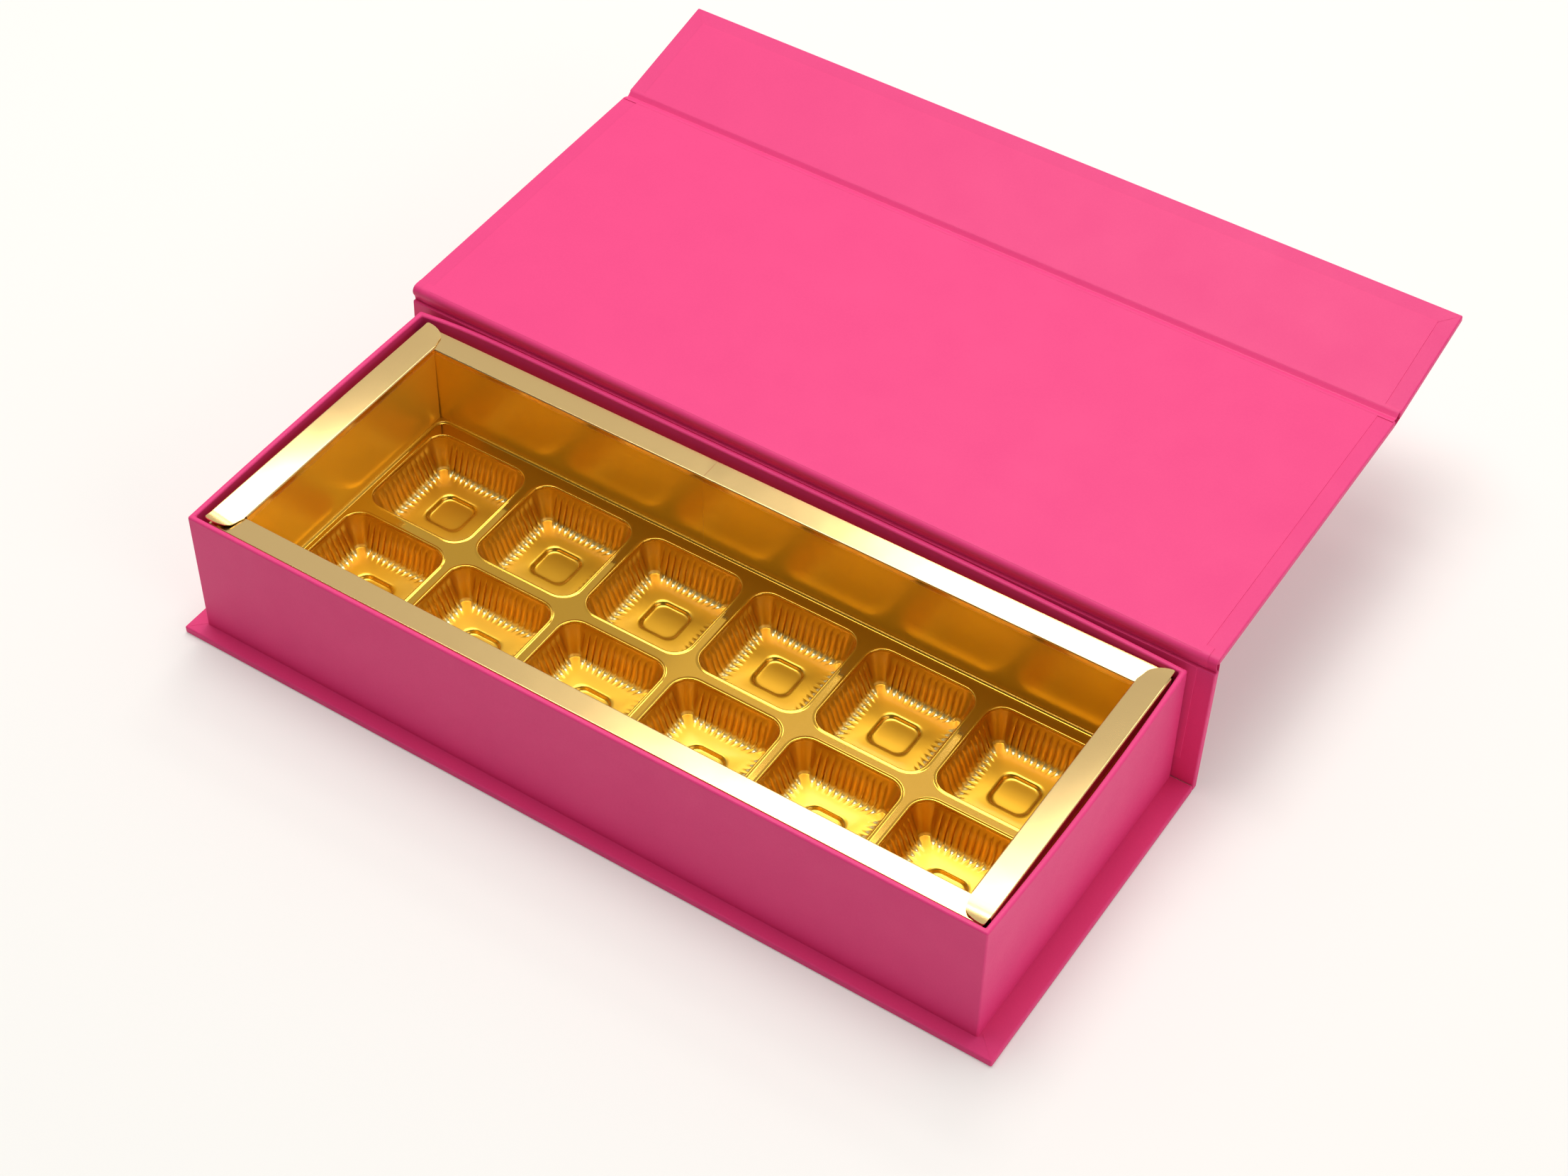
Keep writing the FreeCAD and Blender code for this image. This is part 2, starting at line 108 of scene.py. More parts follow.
camera_data = bpy.data.cameras.new("camera")
camera_data.sensor_width = SENSOR_WIDTH
camera_data.lens = FOCAL_PIXELS / PHOTO_WIDTH * SENSOR_WIDTH
camera = bpy.data.objects.new("camera", camera_data)
scene.collection.objects.link(camera)
camera.matrix_world = (
    Matrix.Translation(CAMERA_PLACE)
    @ Matrix.Rotation(math.radians(CAMERA_AZIMUTH), 4, "Z")
    @ Matrix.Rotation(math.radians(90 - CAMERA_ELEVATION), 4, "X")
    @ Matrix.Rotation(math.radians(CAMERA_ROLL), 4, "Z")
)
scene.camera = camera
print("lens", round(camera_data.lens, 2), "mm")

# %% [markdown]
# ## Colours and nodes
# Colours are written as sRGB hex values, as a designer picks them, but shaders work in linear light, so one
# function converts them. A second function adds a shader node, sets its properties and fills its inputs: an
# input that gets another node's socket is linked, and any other value is set on it.

# %% Helpers for materials
def linear(hex_colour):
    """An sRGB hex colour as linear RGBA."""
    channels = [int(hex_colour[i:i + 2], 16) / 255 for i in (1, 3, 5)]
    return [c / 12.92 if c <= 0.04045 else ((c + 0.055) / 1.055) ** 2.4 for c in channels] + [1.0]


def add(tree, kind, inputs=None, **settings):
    """Add a shader node with its settings and links."""
    node = tree.nodes.new(kind)
    for name, value in settings.items():
        setattr(node, name, value)
    for name, value in (inputs or {}).items():
        if isinstance(value, bpy.types.NodeSocket):
            tree.links.new(value, node.inputs[name])
        else:
            node.inputs[name].default_value = value
    return node


def blank_material(name):
    """A material with an empty node tree."""
    material = bpy.data.materials.new(name)
    material.use_nodes = True
    material.node_tree.nodes.clear()
    return material


print("middle grey in linear light:", round(linear("#808080")[0], 3))

# %% [markdown]
# ## Floor and light
# The box stands on a roll of pale paper that fills the picture. Two strip lights hang behind and above it
# on the left, with a dim panel between them: the satin gold rims blur them into one white light, and the
# polished gold field, between the rims, mirrors only the panel. A wide soft box overhead lights the paper,
# a small one fills in from the right, and the world is a pale room, darker towards the front and darkest
# high up over the camera, where a hood keeps light off the gold walls.

# %% Floor
FLOOR_SIZE = 6.0
FLOOR_DROP = 0.05 * MM
FLOOR_GLOW = 0.25

def backdrop_paper():
    """White studio paper; to the camera a part of its white is its own, so shadows stay pale."""
    material = blank_material("backdrop_paper")
    tree = material.node_tree
    paper = add(tree, "ShaderNodeBsdfDiffuse", {"Color": linear("#F7F5F1"), "Roughness": 0.0})
    glow = add(tree, "ShaderNodeEmission", {"Color": linear("#FDFCF8"), "Strength": 1.0})
    path = add(tree, "ShaderNodeLightPath")
    share = add(tree, "ShaderNodeMath", {0: path.outputs["Is Camera Ray"], 1: FLOOR_GLOW},
                operation="MULTIPLY")
    mixed = add(tree, "ShaderNodeMixShader", {0: share.outputs[0], 1: paper.outputs[0], 2: glow.outputs[0]})
    add(tree, "ShaderNodeOutputMaterial", {"Surface": mixed.outputs[0]})
    return material


floor_mesh = bpy.data.meshes.new("floor")
bm = bmesh.new()
bmesh.ops.create_grid(bm, x_segments=1, y_segments=1, size=FLOOR_SIZE / 2)
bmesh.ops.translate(bm, vec=(0, 0, -FLOOR_DROP), verts=bm.verts)
bm.to_mesh(floor_mesh)
bm.free()
floor = bpy.data.objects.new("floor", floor_mesh)
scene.collection.objects.link(floor)
floor_mesh.materials.append(backdrop_paper())
print("floor", FLOOR_SIZE, "m wide")

# %% Lamps
def soft_box(name, place, aim, size, radiance, colour):
    """A rectangular lamp that shines from place to aim; radiance 1 is as bright as white paper."""
    data = bpy.data.lights.new(name, "AREA")
    data.shape = "RECTANGLE"
    data.size, data.size_y = size
    data.energy = radiance * math.pi * size[0] * size[1]
    data.color = linear(colour)[:3]
    lamp = bpy.data.objects.new(name, data)
    direction = Vector(aim) - Vector(place)
    turn = direction.to_track_quat("-Z", "Y").to_matrix().to_4x4()
    lamp.matrix_world = Matrix.Translation(place) @ turn
    scene.collection.objects.link(lamp)


soft_box("front_strip", place=(-0.325, 0.72, 1.25), aim=(-0.325, 0.72, 0.0), size=(0.46, 0.2),
         radiance=6.2, colour="#FFFDF8")
soft_box("back_strip", place=(-0.325, 1.09, 1.25), aim=(-0.325, 1.09, 0.0), size=(0.46, 0.22),
         radiance=6.2, colour="#FFFDF8")
soft_box("dim_panel", place=(-0.36, 0.9, 1.26), aim=(-0.36, 0.9, 0.0), size=(0.6, 0.15),
         radiance=0.3, colour="#FFFDF8")
soft_box("top_soft_box", place=(-0.2, 0.2, 1.5), aim=(0.0, 0.0, 0.0), size=(1.0, 0.8),
         radiance=5.7, colour="#FFFEFC")
soft_box("side_soft_box", place=(1.2, -0.3, 0.6), aim=(0.0, 0.0, 0.0), size=(0.8, 0.8),
         radiance=1.5, colour="#FFFFFF")

# %% Room
ROOM_FRONT = 0.32
ROOM_BACK = 0.62
ROOM_SEEN = 0.97
HOOD = 0.75

world = bpy.data.worlds.new("room")
world.use_nodes = True
scene.world = world
tree = world.node_tree
tree.nodes.clear()
generated = add(tree, "ShaderNodeTexCoord").outputs["Generated"]
direction = add(tree, "ShaderNodeSeparateXYZ", {"Vector": generated})
depth = add(tree, "ShaderNodeMapRange", {"Value": direction.outputs["Y"], "From Min": -0.6, "From Max": 0.5,
            "To Min": ROOM_FRONT, "To Max": ROOM_BACK})
over_camera = add(tree, "ShaderNodeMath", {0: direction.outputs["Y"], 1: direction.outputs["Z"]},
                  operation="MULTIPLY")
hood = add(tree, "ShaderNodeMapRange", {"Value": over_camera.outputs[0], "From Min": -0.45, "From Max": 0.0,
           "To Min": 1 - HOOD, "To Max": 1.0})
lit = add(tree, "ShaderNodeMath", {0: depth.outputs["Result"], 1: hood.outputs["Result"]},
          operation="MULTIPLY")
path = add(tree, "ShaderNodeLightPath")
strength = add(tree, "ShaderNodeMix", {"Factor": path.outputs["Is Camera Ray"], "A": lit.outputs[0],
               "B": ROOM_SEEN})
room = add(tree, "ShaderNodeBackground", {"Color": linear("#FDFCFA"),
           "Strength": strength.outputs["Result"]})
add(tree, "ShaderNodeOutputWorld", {"Surface": room.outputs["Background"]})
print("room strength from", ROOM_FRONT, "in front to", ROOM_BACK, "behind")

# %% [markdown]
# ## Pink wrapping paper
# The case is covered in coated art paper with a matt film: dyed pink through its coating, with a soft satin
# sheen. Close up it is a little cloudy, and its fibres show as a very fine tooth. The cloud is a noise of
# about 16 mm, the tooth a noise of about half a millimetre, which is as fine as the picture can show.

# %% Paper finishes
CLOUD_SIZE = 16 * MM
TOOTH_SIZE = 0.55 * MM
TOOTH_DEPTH = 0.05 * MM
TOOTH_SHARE = 0.45
GLOSS_SWING = 0.05

def coated_paper(name, colour, shade, roughness, sheen=0.3, tooth=0.12):
    """Matt-filmed art paper: one dye, a faint cloud and a fine tooth."""
    material = blank_material(name)
    tree = material.node_tree
    coordinates = add(tree, "ShaderNodeTexCoord").outputs["Object"]
    cloud = add(tree, "ShaderNodeTexNoise", {"Vector": coordinates, "Scale": 1 / CLOUD_SIZE, "Detail": 3.0})
    fibre = add(tree, "ShaderNodeTexNoise", {"Vector": coordinates, "Scale": 1 / TOOTH_SIZE, "Detail": 2.0})
    mixed = add(tree, "ShaderNodeMix", {"Factor": TOOTH_SHARE, "A": cloud.outputs[0],
                "B": fibre.outputs[0]})
    dye = add(tree, "ShaderNodeMix", {"Factor": mixed.outputs["Result"], "A": linear(shade),
              "B": linear(colour)}, data_type="RGBA")
    gloss = add(tree, "ShaderNodeMapRange", {
        "Value": mixed.outputs["Result"],
        "From Min": 0.3,
        "From Max": 0.7,
        "To Min": roughness + GLOSS_SWING,
        "To Max": roughness - GLOSS_SWING,
    })
    bump = add(tree, "ShaderNodeBump", {"Height": fibre.outputs[0], "Strength": tooth,
               "Distance": TOOTH_DEPTH})
    shader = add(tree, "ShaderNodeBsdfPrincipled", {
        "Base Color": dye.outputs["Result"],
        "Roughness": gloss.outputs["Result"],
        "Normal": bump.outputs["Normal"],
        "IOR": 1.5,
        "Specular IOR Level": sheen,
    })
    add(tree, "ShaderNodeOutputMaterial", {"Surface": shader.outputs["BSDF"]})
    return material


wrap_paper = coated_paper("pink_wrap_paper", "#F04284", "#E3397C", 0.5)
lining_paper = coated_paper("pink_lining_paper", "#F34887", "#E83F80", 0.45, sheen=0.22)
gummed_paper = coated_paper("brown_gummed_paper", "#B89468", "#A07E54", 0.75)
grey_board = coated_paper("grey_board", "#A39E93", "#857F74", 0.9, tooth=0.5)
print("paper finishes:", [m.name for m in (wrap_paper, lining_paper, gummed_paper, grey_board)])

# %% [markdown]
# ## Gold finishes
# The frame is card with a metallised film, and the insert is a metallised plastic sheet drawn into a mould.
# Both are mirrors of warm metal. The card's film is uneven, satin on the walls, which scatter some of the
# light, and shinier on the rims, which a press has flattened. Its deep yellow on the walls is a painted
# reflection of the gold insert, and it is paler on the rims. The rims see the white room and look
# champagne;
# the walls see mostly the gold insert and look amber.

# %% Gold card and plated metal
RIM_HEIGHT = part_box("frame_back_rail")[1].z
RIM_SHARE_STARTS = RIM_HEIGHT - 2 * MM
RIM_SHARE_IS_FULL = RIM_HEIGHT - 1 * MM
GRAIN_SIZE = 0.6 * MM
GRAIN_GLOSS = 0.02
# The walls' deep yellow is a painted reflection of the gold insert.
GOLD_WALL_PAINTED_REFLECTION = ("#FFCC3A", 0.65, 0.3)
GOLD_RIM = ("#F2CE8C", 1.0, 0.15)
NICKEL = ("#C9C9CC", 1.0, 0.3)

def metallised(name, wall, rim, wave_size, wave_height):
    """A film with long, shallow waves; wall and rim give a colour, a metallic share and a roughness."""
    wall_colour, wall_metal, wall_roughness = wall
    rim_colour, rim_metal, rim_roughness = rim
    material = blank_material(name)
    tree = material.node_tree
    coordinates = add(tree, "ShaderNodeTexCoord").outputs["Object"]
    height = add(tree, "ShaderNodeSeparateXYZ", {"Vector": coordinates}).outputs["Z"]
    wave = add(tree, "ShaderNodeTexNoise", {"Vector": coordinates, "Scale": 1 / wave_size, "Detail": 1.0})
    grain = add(tree, "ShaderNodeTexNoise", {"Vector": coordinates, "Scale": 1 / GRAIN_SIZE, "Detail": 2.0})
    # Towards the rims the film blends from the wall colour, on the gold card a painted reflection, to the
    # rim colour.
    rim_share = add(tree, "ShaderNodeMapRange", {"Value": height, "From Min": RIM_SHARE_STARTS,
                  "From Max": RIM_SHARE_IS_FULL}).outputs["Result"]
    film = add(tree, "ShaderNodeMix", {"Factor": rim_share, "A": linear(wall_colour),
               "B": linear(rim_colour)}, data_type="RGBA")
    mirror = add(tree, "ShaderNodeMapRange", {"Value": rim_share, "To Min": wall_metal, "To Max": rim_metal})
    satin = add(tree, "ShaderNodeMapRange", {"Value": rim_share, "To Min": wall_roughness,
                "To Max": rim_roughness})
    gloss = add(tree, "ShaderNodeMath", {0: grain.outputs[0], 1: GRAIN_GLOSS, 2: satin.outputs["Result"]},
                operation="MULTIPLY_ADD")
    bump = add(tree, "ShaderNodeBump", {"Height": wave.outputs[0], "Strength": 1.0,
               "Distance": wave_height})
    shader = add(tree, "ShaderNodeBsdfPrincipled", {
        "Base Color": film.outputs["Result"],
        "Metallic": mirror.outputs["Result"],
        "Roughness": gloss.outputs[0],
        "Normal": bump.outputs["Normal"],
    })
    add(tree, "ShaderNodeOutputMaterial", {"Surface": shader.outputs["BSDF"]})
    return material


gold_card = metallised("gold_film_card", GOLD_WALL_PAINTED_REFLECTION, GOLD_RIM, 14 * MM, 0.05 * MM)
nickel_plate = metallised("nickel_plated_magnet", NICKEL, NICKEL, 4 * MM, 0.01 * MM)
print("metal films:", gold_card.name, nickel_plate.name)

# %% [markdown]
# Drawing dulls the sheet: the flat field keeps its polish, the pockets' lips and walls are satin, and the
# pocket floors, which stretch most, are duller still. The raised edge, which the mould grips, is the
# dullest. A ramp along the height gives the roughness. A pale band at the ribs' toes, just above the pocket
# floors, is a painted highlight. A clear lacquer lies over all of it.

# %% Drawn gold sheet
SHEET_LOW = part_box("cavity_insert")[0].z
SHEET_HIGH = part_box("cavity_insert")[1].z
FOOT_RISE = 1.4 * MM
FLOOR_LEVEL = SHEET_LOW + FOOT_RISE
# Between these heights the toes get a pale band, a painted highlight.
TOE_HIGHLIGHT_STARTS = FLOOR_LEVEL + 0.02 * MM
TOE_HIGHLIGHT_IS_FULL = FLOOR_LEVEL + 0.06 * MM
TOE_HIGHLIGHT_FADES = FLOOR_LEVEL + 0.6 * MM
TOE_HIGHLIGHT_ENDS = FLOOR_LEVEL + 1.1 * MM
POLISH = [
    (SHEET_LOW, 0.3),
    (FLOOR_LEVEL - 0.9 * MM, 0.3),
    (FLOOR_LEVEL - 0.7 * MM, 0.18),
    (FLOOR_LEVEL - 0.2 * MM, 0.18),
    (FLOOR_LEVEL - 0.1 * MM, 0.34),
    (FLOOR_LEVEL + 0.1 * MM, 0.34),
    (FLOOR_LEVEL + 0.2 * MM, 0.3),
    (SHEET_HIGH - 1.2 * MM, 0.31),
    (SHEET_HIGH - 0.6 * MM, 0.06),
    (SHEET_HIGH - 0.47 * MM, 0.06),
    (SHEET_HIGH - 0.4 * MM, 0.2),
    (SHEET_HIGH - 0.3 * MM, 0.2),
    (SHEET_HIGH - 0.2 * MM, 0.42),
    (SHEET_HIGH, 0.42),
]

def drawn_sheet(name, colour, pale, steps):
    """A lacquered metallised sheet; steps are pairs of a height in metres and the roughness there."""
    material = blank_material(name)
    tree = material.node_tree
    coordinates = add(tree, "ShaderNodeTexCoord").outputs["Object"]
    height = add(tree, "ShaderNodeSeparateXYZ", {"Vector": coordinates}).outputs["Z"]
    share = add(tree, "ShaderNodeMapRange", {"Value": height, "From Min": SHEET_LOW,
                "From Max": SHEET_HIGH})
    ramp = add(tree, "ShaderNodeValToRGB", {"Fac": share.outputs["Result"]})
    stops = ramp.color_ramp.elements
    for place, _ in steps[1:-1]:
        stops.new((place - SHEET_LOW) / (SHEET_HIGH - SHEET_LOW))
    for stop, (place, roughness) in zip(stops, steps):
        stop.position = (place - SHEET_LOW) / (SHEET_HIGH - SHEET_LOW)
        stop.color = (roughness, roughness, roughness, 1.0)
    # A pale band at the toes is a painted highlight.
    rise = add(tree, "ShaderNodeMapRange", {"Value": height, "From Min": TOE_HIGHLIGHT_STARTS,
               "From Max": TOE_HIGHLIGHT_IS_FULL})
    fall = add(tree, "ShaderNodeMapRange", {"Value": height, "From Min": TOE_HIGHLIGHT_ENDS,
               "From Max": TOE_HIGHLIGHT_FADES})
    toe_highlight_share = add(tree, "ShaderNodeMath", {0: rise.outputs["Result"], 1: fall.outputs["Result"]},
                   operation="MULTIPLY")
    film = add(tree, "ShaderNodeMix", {"Factor": toe_highlight_share.outputs[0], "A": linear(colour),
               "B": linear(pale)}, data_type="RGBA")
    shader = add(tree, "ShaderNodeBsdfPrincipled", {
        "Base Color": film.outputs["Result"],
        "Metallic": 0.9,
        "Roughness": ramp.outputs["Color"],
        "Coat Weight": 0.5,
        "Coat Roughness": 0.12,
    })
    add(tree, "ShaderNodeOutputMaterial", {"Surface": shader.outputs["BSDF"]})
    return material


# The second colour is the painted highlight at the toes.
gold_sheet = drawn_sheet("gold_drawn_sheet", "#DBA62C", "#FFEBA0", POLISH)
print(gold_sheet.name, "with", len(POLISH), "steps of polish")

# %% [markdown]
# ## From a bmesh to a piece
# Every piece is drawn in a bmesh, in millimetres. Weighted normals let the large faces decide the shading,
# so flat panels stay flat right up to their rounded edges. The insert does without them: its level faces
# are shaded flat instead.

# %% Finishing a piece
LEVEL_NORMAL = 0.999

def finish_piece(name, bm, material, place=Matrix.Identity(4), body=None, stands_for=(), sharp=35.0,
                 weighted=True):
    """Turn a millimetre bmesh into a piece at its place."""
    bm.transform(place @ Matrix.Diagonal((MM, MM, MM, 1.0)))
    mesh = bpy.data.meshes.new(name)
    bm.to_mesh(mesh)
    bm.free()
    for polygon in mesh.polygons:
        polygon.use_smooth = weighted or abs(polygon.normal.z) < LEVEL_NORMAL
    mesh.set_sharp_from_angle(angle=math.radians(sharp))
    mesh.materials.append(material)
    piece = bpy.data.objects.new(name, mesh)
    scene.collection.objects.link(piece)
    if weighted:
        modifier = piece.modifiers.new("weighted_normals", "WEIGHTED_NORMAL")
        modifier.weight = 100
        modifier.keep_sharp = True
    if body:
        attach(piece, body)
    if stands_for:
        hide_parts(*stands_for)
    print(name, len(mesh.polygons), "faces")
    return piece


# %% [markdown]
# Boards are blocks with rounded edges. Paper and card start as a line of points across the sheet, which is
# extruded along it, so that one drawing of the folds makes the whole length.

# %% Drawing helpers
def block(size, centre):
    """A box of a size round a centre."""
    bm = bmesh.new()
    bmesh.ops.create_cube(bm, size=1.0)
    bmesh.ops.scale(bm, vec=size, verts=bm.verts)
    bmesh.ops.translate(bm, vec=centre, verts=bm.verts)
    return bm


def soften(bm, edges, radius, segments):
    """Round off edges in a few steps."""
    bmesh.ops.bevel(bm, geom=edges, offset=radius, offset_type="OFFSET", affect="EDGES", segments=segments,
                    profile=0.5, material=-1, clamp_overlap=True)


def points_of(geometry):
    """The points among what an extrusion or a copy made."""
    return [item for item in geometry if isinstance(item, bmesh.types.BMVert)]


def carry_edges(bm, edges):
    """Extrude edges on the spot; gives the new points and the new edges between them."""
    made = bmesh.ops.extrude_edge_only(bm, edges=edges)["geom"]
    points = points_of(made)
    ahead = [item for item in made if isinstance(item, bmesh.types.BMEdge)
             and all(v in points for v in item.verts)]
    return points, ahead


def folded_sheet(outline, half, radius, segments):
    """A sheet from points across it, carried along X from -half to half, with round folds."""
    bm = bmesh.new()
    verts = [bm.verts.new((-half, across, up)) for across, up in outline]
    edges = [bm.edges.new(pair) for pair in zip(verts, verts[1:])]
    far_points, _ = carry_edges(bm, edges)
    bmesh.ops.translate(bm, vec=(2 * half, 0, 0), verts=far_points)
    soften(bm, [e for e in bm.edges if len(e.link_faces) == 2], radius, segments)
    return bm


def cut_across(bm, axis, places):
    """Cut loops through the mesh at right angles to an axis."""
    normal = Vector([1.0 if i == axis else 0.0 for i in range(3)])
    for place in places:
        geometry = bm.verts[:] + bm.edges[:] + bm.faces[:]
        bmesh.ops.bisect_plane(bm, geom=geometry, plane_co=normal * place, plane_no=normal)


def spread(low, high, count):
    """Evenly spaced places between two ends, without the ends."""
    return [low + (high - low) * (i + 1) / (count + 1) for i in range(count)]


print("three cuts between 0 and 8:", spread(0, 8, 3))

# %% [markdown]
# ## The case panels
# Base, spine, lid and flap are 2 mm grey boards wrapped in one sheet of paper. The paper can't follow a
# sharp edge, so a wrapped board has soft edges: a block with every edge bevelled in a few steps. The open
# lid pulls the spine back by 2 mm at its top, so the spine leans, and the boards of spine, lid and flap are
# drawn again inside their paper.

# %% Measures of the panels
BOARD = 2.0
PAPER = 0.15
PANEL = BOARD + 2 * PAPER
CASE_HALF = (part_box("lid_wrap")[1].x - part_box("lid_wrap")[0].x) / 2 / MM
FOLD_SETBACK = 0.5
FOLD_GAP = 2.65
SPINE_LEAN = 2.0
LID_START = 1.1
FLAP_TRIM = 1.2

base_low, base_high = (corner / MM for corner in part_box("base_wrap"))
base_depth = base_high.y - base_low.y
spine_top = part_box("spine_wrap")[1].z / MM
lid_end = lid_run.length / MM - FOLD_SETBACK
to_flap = flap_place.inverted()
flap_end = max((to_flap @ v.co).y for v in nodes["flap_wrap"].data.vertices) / MM - FLAP_TRIM

base_place = Matrix.Translation((0, base_high.y * MM, PAPER * MM)) @ Matrix.Rotation(math.pi, 4, "Z")
spine_lean = math.atan2(SPINE_LEAN, spine_top)
spine_turn = Matrix.Rotation(math.pi / 2 - spine_lean, 4, "X")
spine_place = Matrix.Translation((0, lid_fold_line.y, 0)) @ spine_turn
print("case length", round(2 * CASE_HALF, 1), "mm")
print("lid ends at", round(lid_end, 1), "mm, flap at", round(flap_end, 1), "mm")

# %% Wrapped panels
EDGE_ROUND = 0.45
EDGE_STEPS = 4

def wrapped_panel(start, end):
    """A wrapped board drawn flat, from start to end, with soft edges."""
    bm = block((2 * CASE_HALF, end - start, PANEL), (0, (start + end) / 2, BOARD / 2))
    soften(bm, bm.edges[:], EDGE_ROUND, EDGE_STEPS)
    return bm


def stiffener(start, end):
    """The board inside a panel's paper, drawn flat."""
    inset = 2 * PAPER
    size = (2 * (CASE_HALF - inset), end - start - 2 * inset, BOARD - inset)
    return block(size, (0, (start + end) / 2, BOARD / 2))


PANELS = (
    ("spine", 0, spine_top, spine_place, "base"),
    ("lid", LID_START, lid_end, lid_place, "lid"),
    ("flap", FOLD_GAP, flap_end, flap_place, "flap"),
)
finish_piece("base_cover", wrapped_panel(0, base_depth), wrap_paper, base_place, "base",
             ["base_wrap"])
for name, start, end, place, body in PANELS:
    finish_piece(f"{name}_cover", wrapped_panel(start, end), wrap_paper, place, body,
                 [f"{name}_wrap"])
for name, start, end, place, body in PANELS:
    finish_piece(f"{name}_stiffener", stiffener(start, end), grey_board, place, body,
                 [f"{name}_board"])

# %% [markdown]
# The lining covers the turned-in edges of the wrap on the inside of spine, lid and flap. It is one more
# sheet of paper that stops a few millimetres short of the edges, with edges just soft enough to catch the
# light.

# %% Lining sheets
LINING_MARGIN = 5.0
LINING_HALF = CASE_HALF - LINING_MARGIN
SPINE_LINING_START = 9.8
LINING_EDGE = 0.1
LINING_STEPS = 2

def lining_sheet(start, end):
    """A lining sheet drawn flat on the inside of a panel."""
    bm = block((2 * LINING_HALF, end - start, 2 * PAPER), (0, (start + end) / 2, BOARD + PAPER))
    soften(bm, bm.edges[:], LINING_EDGE, LINING_STEPS)
    return bm


for name, start, end, place, body in (
    ("spine", SPINE_LINING_START, spine_top, spine_place, "base"),
    ("lid", LID_START, lid_end, lid_place, "lid"),
    ("flap", FOLD_GAP, flap_end - LINING_MARGIN, flap_place, "flap"),
):
    finish_piece(f"{name}_lining", lining_sheet(start, end), lining_paper, place, body,
                 [f"{name}_liner"])

# %% [markdown]
# At a panel's free corners the paper is folded over itself on a diagonal, which leaves a fine ridge from
# the corner inwards. It is a sliver of paper, a block turned by 45 degrees.

# %% Corner folds
MITRE_RUN = 7.0
MITRE_WIDTH = 0.3
MITRE_RISE = 0.05
MITRE_START = 0.9

def corner_folds(end):
    """The two diagonal ridges at the free end of a panel."""
    bm = bmesh.new()
    for side in (-1, 1):
        ridge = bmesh.ops.create_cube(bm, size=1.0)["verts"]
        bmesh.ops.scale(bm, vec=(MITRE_RUN, MITRE_WIDTH, 2 * MITRE_RISE), verts=ridge)
        bmesh.ops.rotate(bm, matrix=Matrix.Rotation(side * math.pi / 4, 3, "Z"), verts=ridge)
        inset = MITRE_START + MITRE_RUN / 2 * math.sqrt(0.5)
        bmesh.ops.translate(bm, vec=(side * (CASE_HALF - inset), end - inset, BOARD + PAPER), verts=ridge)
    return bm


finish_piece("base_corner_folds", corner_folds(base_depth), wrap_paper, base_place, "base")
finish_piece("flap_corner_folds", corner_folds(flap_end), wrap_paper, flap_place, "flap")

# %% [markdown]
# ## Paper across the folds
# Wrap and lining run on from panel to panel. In the photograph the lining rolls from the spine over to the
# open lid in a smooth round band, and dips into a groove between lid and flap. Both are sheets drawn from a
# few points across the fold and carried along the box.

# %% Bent sheets
SHEET_RISE = 0.03
SHEET_STEPS = 5
SHEET_CUTS = 15
WRAP_INSET = 0.2

def bent_sheet(outline, half, radius):
    """A paper sheet across a fold, cut into short lengths along the box."""
    bm = folded_sheet(outline, half, radius, SHEET_STEPS)
    bmesh.ops.solidify(bm, geom=bm.faces[:], thickness=PAPER)
    bmesh.ops.recalc_face_normals(bm, faces=bm.faces)
    cut_across(bm, 0, spread(-half, half, SHEET_CUTS))
    return bm


print("lengths in a sheet:", SHEET_CUTS + 1)

# %% [markdown]
# The roll's points are given from the hinge line outwards and from three levels upwards: the spine's top,
# the hinge line and the lid's face. The wrap's turn-in lies one paper below the lining and shows past its
# ends.

# %% The lining's roll over the hinge
ROLL_ON_SPINE = [(0.75, -0.4), (0.65, 1.1)]
ROLL_AT_HINGE = [(-0.05, -0.1), (-0.1, 1.1)]
ROLL_ON_LID = [(0.45, -0.35), (1.3, 2 * SHEET_RISE), (3.6, 2 * SHEET_RISE)]
ROLL_ROUND = 0.42
ROLL_OVERHANG = 2.2
TURN_IN_INSET = 0.15

hinge_y = lid_fold_line.y / MM
hinge_z = lid_fold_line.z / MM
lid_face = hinge_z + PANEL
levels = ((spine_top, ROLL_ON_SPINE), (hinge_z, ROLL_AT_HINGE), (lid_face, ROLL_ON_LID))
roll = [(hinge_y + across, level + up) for level, points in levels for across, up in points]
turned_in = [(across + PAPER, up - PAPER) for across, up in roll]
hinge_lining = finish_piece("hinge_lining", bent_sheet(roll, LINING_HALF + ROLL_OVERHANG, ROLL_ROUND),
                            lining_paper)
hinge_turn_in = finish_piece("hinge_turn_in", bent_sheet(turned_in, CASE_HALF - TURN_IN_INSET, ROLL_ROUND),
                             wrap_paper)
for sheet in (hinge_lining, hinge_turn_in):
    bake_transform(sheet)

# %% The wrap behind the hinge
HINGE_RUN = 2.4
HINGE_DROP = 1.6
HINGE_ROUND = 0.25

hinge_back = hinge_y + SPINE_LEAN + PAPER + SHEET_RISE
hinge_under = hinge_z - PAPER - SHEET_RISE
hinge_wrap_outline = [
    (hinge_back, spine_top - HINGE_DROP),
    (hinge_back, hinge_under),
    (hinge_back + HINGE_RUN, hinge_under),
]
hinge_wrap = finish_piece("hinge_wrap", bent_sheet(hinge_wrap_outline, CASE_HALF - WRAP_INSET, HINGE_ROUND),
                          wrap_paper, stands_for=["lid_fold"])
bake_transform(hinge_wrap)

# %% The crease between lid and flap
CREASE_LAP = 1.0
CREASE_EASE = 0.1
CREASE_MIDDLE = 0.55
CREASE_DIP = 0.75
CREASE_INSET = 0.5
CREASE_ROUND = 0.45
CREASE_WRAP_ROUND = 0.3

